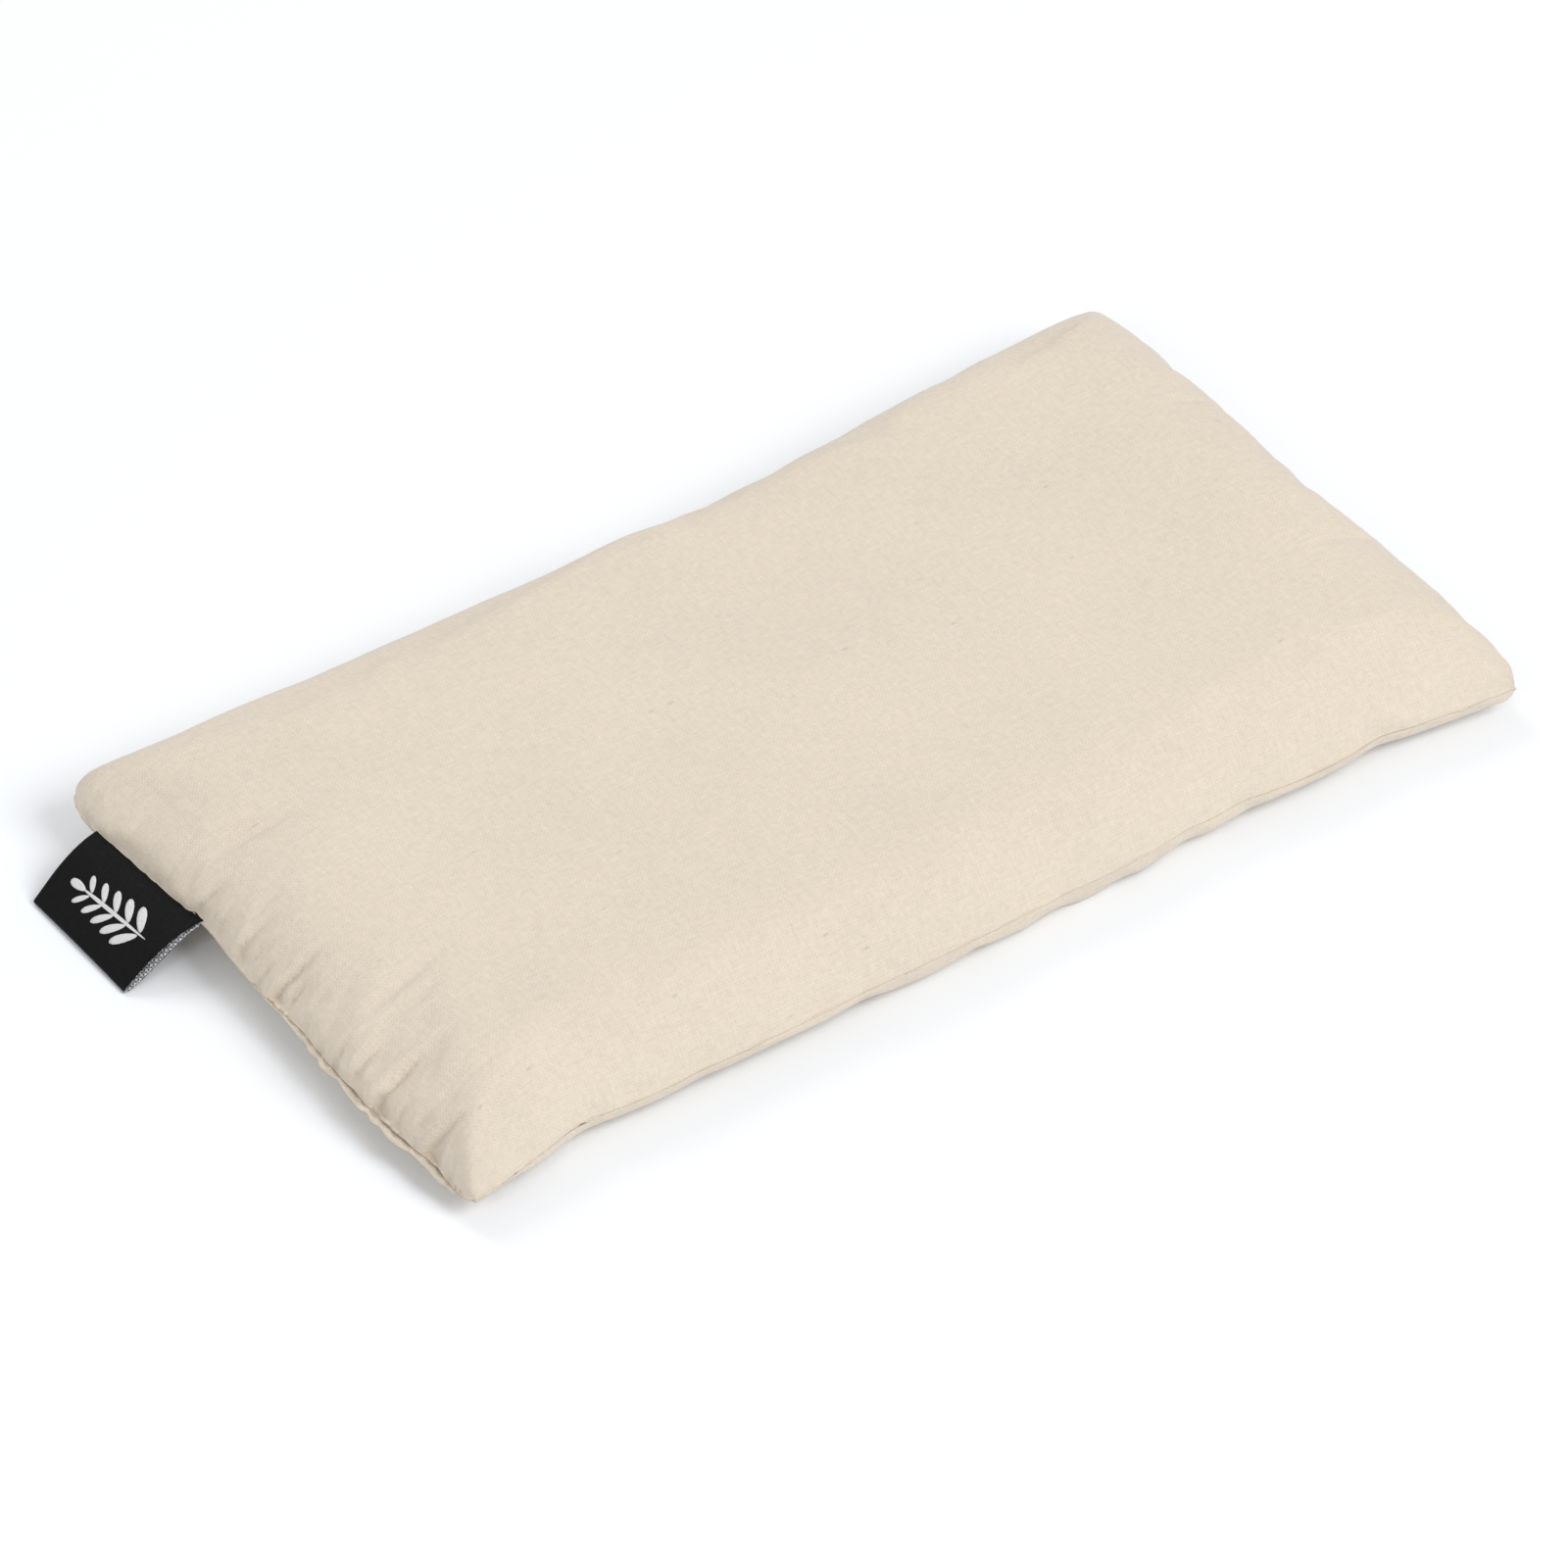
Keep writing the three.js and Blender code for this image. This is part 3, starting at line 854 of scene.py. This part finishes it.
def selvedge_material():
    """Cut edge of the ribbon: pale weft turns over black, seen end on."""
    nodes = Nodes("label_selvedge", Specular_IOR_Level=0.2)
    place = nodes.cloth_place()
    beads = nodes.add("TexVoronoi", {"Vector": place, "Scale": 2600.0}).outputs["Distance"]
    nodes.tint((0.6, 0.6, 0.62), nodes.remap(beads, (0.1, 0.6), (1.1, 0.1)))
    nodes.roughness(nodes.remap(beads, (0.1, 0.6), (0.7, 0.9)))
    nodes.relief(beads, 0.05 * MM)
    return nodes.material


def motif_material():
    """White damask figure: short satin floats across the ribbon."""
    nodes = Nodes("label_motif", Sheen_Weight=0.2, Specular_IOR_Level=0.3)
    place = nodes.add("NewGeometry").outputs["Position"]
    wave = {"Vector": place, "Scale": 1100.0, "Distortion": 0.8}
    floats = nodes.add("TexWave", wave, bands_direction="Y").outputs["Fac"]
    fibre = nodes.noise(place, 2400.0)
    shade = nodes.product(
        nodes.remap(floats, (0, 1), (0.72, 1.04)),
        nodes.vary(fibre, 0.9, 1.05),
    )
    nodes.tint((0.80, 0.80, 0.80), shade)
    nodes.roughness(nodes.vary(fibre, 0.6, 0.45))
    nodes.relief(floats, 0.03 * MM)
    return nodes.material


def seed_material():
    """Glossy brown linseed with grey-violet lavender buds among it, and painted shade that darkens each
    seed towards its rim, where it meets the next.
    """
    nodes = Nodes("linseed_and_lavender", Specular_IOR_Level=0.5, Coat_Weight=0.15)
    place = nodes.stretch(nodes.add("NewGeometry").outputs["Position"], (1, SEED_SLENDERNESS, 1))
    cells = nodes.add("TexVoronoi", {"Vector": place, "Scale": 330.0})
    kind = nodes.add("TexWhiteNoise", {"Vector": cells.outputs["Position"]}).outputs["Value"]
    bud = nodes.math("GREATER_THAN", kind, 0.86)
    body = nodes.remap(kind, (0, 0.86), (0.7, 1.35))
    brown = nodes.add("VectorMath", {0: (0.16, 0.07, 0.03), "Scale": body}, operation="SCALE")
    violet = (0.20, 0.17, 0.26, 1)
    mixed = {"Factor": bud, 6: brown.outputs[0], 7: violet}
    colours = nodes.add("Mix", mixed, data_type="RGBA").outputs[2]
    # painted shade: the colour darkens from each seed's middle towards its rim, standing in for the
    # shade in the gaps between seeds
    shade_between_seeds = nodes.remap(cells.outputs["Distance"], (0.25, 0.6), (1.0, 0.35))
    nodes.tint(colours, shade_between_seeds)
    nodes.roughness(nodes.remap(bud, (0, 1), (0.35, 0.85)))
    nodes.relief(nodes.math("SUBTRACT", 1.0, cells.outputs["Distance"]), 0.5 * MM)
    return nodes.material


# ---------------- pieces of the pillow


def build_cover():
    """Both cover panels, settled by the cloth simulation."""
    cotton = cotton_material("cover_cotton", COVER_COLOUR, COVER_PITCH)
    top, bottom = Panel(1, CELLS), Panel(-1, CELLS)
    simulate_bag(top, bottom)
    bottom.points[..., 2] = np.maximum(bottom.points[..., 2], 0)  # nothing sinks into the surface
    for name, panel, detail in (("cover_top", top, top_detail), ("cover_bottom", bottom, None)):
        piece = cloth_panel(name, panel, cotton, detail)
        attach(piece, "pillow")
        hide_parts(name + "_panel")


SIDE_SEAM = [(-1, -1), (1, -1), (1, 1), (-1, 1)]
CLOSING_SEAM = [(-1, -CLOSING_END), (-1, CLOSING_END)]
BACKTACKS = [(-57.5, 0.9), (-56.3, 0.7)]  # two stitches that end the closing seam: y, height
BACKTACK_REACH = (0.35, -1.0)  # outwards, at the front and at the back, in mm
BACKTACK_ARCH = [0.35, 0.62, 0.8, 0.95, 1.05, 1.0]  # rise from front to back, in mm


def in_groove(y):
    """Stitches of a turned seam lie just inside it."""
    return np.full_like(y, -0.1 * MM)


def on_shelf(y):
    """Closing stitches lie between the folded edges, and on the lower one where it stands out."""
    return 0.3 * MM + 0.22 * lip_reach(y)


def backtack_paths(line):
    """Short stitches over the upper folded edge, close to the near corner."""
    paths = []
    for y, rise in BACKTACKS:
        distance = np.interp(y * MM, line.points[:, 1], line.distance)
        reach = np.linspace(*BACKTACK_REACH, len(BACKTACK_ARCH)) * MM
        height = np.array(BACKTACK_ARCH) * rise * MM
        paths.append(line.at(np.full_like(reach, distance), reach, height))
    return paths


def build_stitches():
    thread = thread_material("cotton_thread", THREAD_COLOUR)
    side = stitch_row("cover_stitches", SeamLine(SIDE_SEAM), in_groove, 0, thread)
    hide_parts("cover_seam_thread")
    line = SeamLine(CLOSING_SEAM)
    closing = stitch_row("closing_stitches", line, on_shelf, 0.05 * MM, thread, backtack_paths(line))
    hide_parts("closing_seam_thread")


def build_inner_bag():
    """The plain bag that holds the seeds, hidden in the cover."""
    cotton = cotton_material("inner_cotton", INNER_COLOUR, INNER_PITCH)
    inset = INNER_LOW.x - TOP_LOW.x
    drop = TOP_HIGH.z - INNER_HIGH.z
    for name, side in (("inner_bag_top", 1), ("inner_bag_bottom", -1)):
        piece = cloth_panel(name, Panel(side, INNER_CELLS, inset, drop), cotton)
        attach(piece, "pillow")
        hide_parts(name + "_panel")
    thread = thread_material("inner_thread", THREAD_COLOUR)
    for name, corners, node in (
        ("inner_side_stitches", SIDE_SEAM, "inner_bag_seam_thread"),
        ("inner_closing_stitches", CLOSING_SEAM, "inner_bag_closing_thread"),
    ):
        row = stitch_row(name, SeamLine(corners, inset), in_groove, 0, thread)
        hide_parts(node)


SEED_BUMP = 0.5 * MM
SEED_SIZE = 3 * MM
SEED_GAP = 0.2 * MM  # between the seeds and the inner bag


def build_seeds():
    """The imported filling: one closed mass whose surface is bumpy with seeds."""
    inset = FILL_LOW.x - TOP_LOW.x
    drop = TOP_HIGH.z - FILL_HIGH.z + SEED_GAP
    vertices, faces = [], []
    for side in (1, -1):
        panel = Panel(side, FILL_CELLS, inset, drop)
        points = panel.points.reshape(-1, 3)
        rounded = np.minimum(1, panel.from_seam().reshape(-1) / (3 * SEED_SIZE))
        for point, share in zip(points, rounded):
            cell = Vector((point[0], point[1] * SEED_SLENDERNESS, point[2])) / SEED_SIZE
            point[2] -= side * SEED_BUMP * min(noise.voronoi(cell)[0][0] * 1.4, 1) * share
        faces += [[i + len(vertices) for i in face] for face in panel.faces()]
        vertices += list(points)
    piece = new_object("linseed_fill", vertices, faces)
    merge_seam(piece)
    piece.data.materials.append(seed_material())
    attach(piece, "pillow")
    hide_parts("seed_fill")


# ---------------- label

LABEL_HALF_WIDTH = (LOOP_HIGH.y - LOOP_LOW.y) / 2
LABEL_MIDDLE_Y = (LOOP_HIGH.y + LOOP_LOW.y) / 2
RIBBON_THICKNESS = 0.32 * MM
# Each pair below is at the near edge and at the far edge
LABEL_EXIT = (3.05 * MM, -0.2 * MM)  # where it leaves the seam, inwards of the hinge
LABEL_ROOT_DEPTH = ROOT_HIGH.x - HINGE.x - LABEL_EXIT[0]
LABEL_REACH = (15.4 * MM, 13.4 * MM)
LABEL_BULGE = (0.6 * MM, 0.4 * MM)  # how far each ply bows out between seam and fold
BULGE_SKEW = 1.4  # puts the widest place past the middle, towards the fold
LABEL_DROP = 7.55 * MM
LABEL_FALL = {1: 0.22, 2: 1.15, 4: -0.37}  # power of the distance, and its share of the drop
LABEL_BOW = 0.25 * MM  # how far the fold's middle stands above its ends
LABEL_NARROWING = 1.6 * MM  # how far the far edge leans in by the fold
FOLD_RADIUS = 0.22 * MM
ROOT_OPENING = 0.06 * MM
LABEL_STEPS = 44
FOLD_STEPS = 8
LABEL_CELLS_ACROSS = 30


def label_middle(along, across):
    """Point midway between the plies: along from 0 at the seam to 1 at the fold, across -1 to 1."""
    share = (across + 1) / 2
    x = HINGE.x + mix(*LABEL_EXIT, share)
    y = LABEL_MIDDLE_Y + across * LABEL_HALF_WIDTH
    if along < 0:
        return Vector((x - along * LABEL_ROOT_DEPTH, y, HINGE.z))
    fall = sum(weight * along**power for power, weight in LABEL_FALL.items())
    x -= mix(*LABEL_REACH, share) * along
    y -= LABEL_NARROWING * share * along
    return Vector((x, y, HINGE.z - LABEL_DROP * fall + bow(across, LABEL_BOW, 2) * along))


def half_opening(along, across):
    """Half the gap between the plies."""
    if along < 0:
        return ROOT_OPENING
    bulge = mix(*LABEL_BULGE, (across + 1) / 2) * math.sin(math.pi * min(along, 1) ** BULGE_SKEW)
    return mix(ROOT_OPENING, FOLD_RADIUS, along) + bulge


def ribbon_point(angle, along, across, rise=0.0):
    """Outer face of the ribbon: angle is 90 degrees on the upper ply, 0 at the fold's tip."""
    step = 0.01
    forward = (label_middle(along + step, across) - label_middle(along - step, across)).normalized()
    upward = Vector((forward.z, 0, -forward.x))
    reach = half_opening(along, across) + RIBBON_THICKNESS + rise
    direction = upward * math.sin(angle) + forward * math.cos(angle)
    return label_middle(along, across) + direction * reach


def ribbon_profile():
    """(angle, along) from the upper ply's caught end, round the fold, to the lower ply's end."""
    quarter = math.pi / 2
    upper = [(quarter, along) for along in np.linspace(-1, 1, LABEL_STEPS)]
    fold = [(angle, 1) for angle in np.linspace(quarter, -quarter, FOLD_STEPS + 2)[1:-1]]
    lower = [(-quarter, along) for along in np.linspace(1, -1, LABEL_STEPS)]
    return upper + fold + lower


def build_label():
    """The folded ribbon: one strip from the seam, round its fold and back into the seam."""
    vertices, cloth = [], []
    profile = ribbon_profile()
    for across in np.linspace(-1, 1, LABEL_CELLS_ACROSS + 1):
        strip = [ribbon_point(angle, along, across) for angle, along in profile]
        length = 0.0
        for k, point in enumerate(strip):
            length += (point - strip[k - 1]).length if k else 0.0
            cloth.append((length, across * LABEL_HALF_WIDTH))
        vertices += strip
    numbers = np.arange(len(vertices)).reshape(-1, len(profile))
    piece = new_object("label", vertices, grid_faces(numbers, True))
    add_uv(piece, np.array(cloth))
    for material in (damask_material(), reverse_material(), selvedge_material()):
        piece.data.materials.append(material)
    subdivide(piece)
    thicken(piece, RIBBON_THICKNESS, inside_slot=1, edge_slot=2)
    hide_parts("label_loop", "label_root")
    return piece


# The woven figure, a plain sprig, in mm: across the label towards its far edge, and along it
SPRIG_AXIS = 8
SPRIG_START = -10.5
STEM_SIZE = (17.5, 0.6)  # sizes are lengths and widths
LEAF_PAIRS = 5
FIRST_LEAF = 1.8  # from the start of the stem
LEAF_SPACING = 3.4
LEAF_SIZE = (5, 1.6)
LEAF_SHRINK = 0.09  # each pair is smaller than the one before it by this share of the first
LEAF_ANGLE = math.radians(40)
END_LEAF_SIZE = (4, 1.3)
MOTIF_RISE = 0.07 * MM
MOTIF_BEVEL = 0.3  # share of the way to a patch's middle at which its top starts


def oval(start, angle, length, width, points=14):
    """Outline of a pointed oval on the label, from start in the direction of angle."""
    outline = []
    cosine, sine = math.cos(angle), math.sin(angle)
    for k in range(points):
        turn = 2 * math.pi * k / points
        along = length * (1 - math.cos(turn)) / 2
        out = width / 2 * math.sin(turn) * (1 - 0.25 * math.cos(turn))
        outline.append((start[0] + cosine * along - sine * out, start[1] + sine * along + cosine * out))
    return outline


def sprig_outlines():
    """Stem, leaves and end leaf, each as an outline of (across, along) places in mm."""
    stem_length, stem_width = STEM_SIZE
    outlines = [oval((SPRIG_START, SPRIG_AXIS), 0, *STEM_SIZE, points=40)]
    length, width = LEAF_SIZE
    for k in range(LEAF_PAIRS):
        size = 1 - LEAF_SHRINK * k
        across = SPRIG_START + FIRST_LEAF + LEAF_SPACING * k
        for sign in (1, -1):
            start = (across, SPRIG_AXIS + sign * stem_width / 2)
            outlines.append(oval(start, sign * LEAF_ANGLE, size * length, size * width))
    stem_end = SPRIG_START + stem_length - stem_width
    outlines.append(oval((stem_end, SPRIG_AXIS), 0, *END_LEAF_SIZE))
    return outlines


def label_place(place, rise):
    """Point on the upper face of the label, at an (across, along) place in mm."""
    across = place[0] * MM / LABEL_HALF_WIDTH
    along = place[1] * MM / mix(*LABEL_REACH, (across + 1) / 2)
    return ribbon_point(math.pi / 2, along, across, rise)


def build_motif():
    """Raised closed patches that follow the curve of the label."""
    vertices, faces = [], []
    for outline in sprig_outlines():
        count, start = len(outline), len(vertices)
        middle = np.mean(outline, axis=0)
        inner = [mix(np.array(place), middle, MOTIF_BEVEL) for place in outline]
        vertices += [label_place(place, -0.5 * MOTIF_RISE) for place in outline]
        vertices += [label_place(place, 0.5 * MOTIF_RISE) for place in outline]
        vertices += [label_place(place, MOTIF_RISE) for place in inner]
        faces += tube_faces(start + np.arange(3 * count).reshape(3, count))
    piece = new_object("label_motif", vertices, faces)
    orient_outward(piece)
    piece.data.materials.append(motif_material())
    return piece


def build_flap():
    """The label and its woven figure, built where they leave the seam, with their placement baked into
    the meshes.
    """
    for piece in (build_label(), build_motif()):
        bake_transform(piece)


# ---------------- setting


FLOOR_HALF = 4.0  # half the length of its sides
FLOOR_COLOUR = (0.915, 0.937, 0.965, 1)


def build_floor():
    corners = [(x * FLOOR_HALF, y * FLOOR_HALF, 0) for x, y in ((-1, -1), (1, -1), (1, 1), (-1, 1))]
    floor = new_object("floor", corners, [[0, 1, 2, 3]])
    nodes = Nodes("floor", Base_Color=FLOOR_COLOUR, Roughness=0.9, Specular_IOR_Level=0.1)
    floor.data.materials.append(nodes.material)


def add_aimed(name, data, azimuth, elevation, distance, aim):
    """Adds a lamp or camera at a distance from aim, pointing at it; angles are in degrees."""
    a, e = math.radians(azimuth), math.radians(elevation)
    towards = Vector((math.sin(a) * math.cos(e), -math.cos(a) * math.cos(e), math.sin(e)))
    holder = bpy.data.objects.new(name, data)
    holder.location = aim + towards * distance
    holder.rotation_euler = towards.to_track_quat("Z", "Y").to_euler()
    bpy.context.scene.collection.objects.link(holder)
    return holder


WORLD_STRENGTH = 0.55
SOFTBOX_DISTANCE = 1.8
SOFTBOXES = [  # azimuth and elevation in degrees, diameter in metres, power in watts
    ("front_softbox", 25, 46, 1.0, 16.5),
    ("back_softbox", 180, 44, 0.8, 7),
    ("side_fill", -65, 40, 0.7, 4),
]


def add_softbox(name, azimuth, elevation, size, power):
    light = bpy.data.lights.new(name, "AREA")
    light.shape = "DISK"
    light.size = size
    light.energy = power
    add_aimed(name, light, azimuth, elevation, SOFTBOX_DISTANCE, Vector((0, 0, 0)))


def build_lighting():
    world = bpy.data.worlds.new("studio")
    world.use_nodes = True
    background = world.node_tree.nodes["Background"]
    background.inputs["Color"].default_value = (1, 1, 1, 1)
    background.inputs["Strength"].default_value = WORLD_STRENGTH
    bpy.context.scene.world = world
    for name, azimuth, elevation, size, power in SOFTBOXES:
        add_softbox(name, azimuth, elevation, size, power)
    bpy.context.scene.view_settings.view_transform = "Standard"


CAMERA_AIM = Vector((-9.6, -9.3, 8)) * MM
CAMERA_DIRECTION = (-34.2, 43.8)  # azimuth and elevation in degrees
CAMERA_DISTANCE = 2.0
CAMERA_LENS = 266  # in mm, with a sensor 36 mm wide


def build_camera():
    """A long lens that looks down on the pillow from its near side and the label end."""
    camera_data = bpy.data.cameras.new("camera")
    camera_data.sensor_width = 36
    camera_data.lens = CAMERA_LENS
    camera_data.clip_start = 0.01
    camera = add_aimed("camera", camera_data, *CAMERA_DIRECTION, CAMERA_DISTANCE, CAMERA_AIM)
    bpy.context.scene.camera = camera


build_camera()
build_lighting()
build_floor()
build_cover()
build_stitches()
build_inner_bag()
build_seeds()
build_flap()
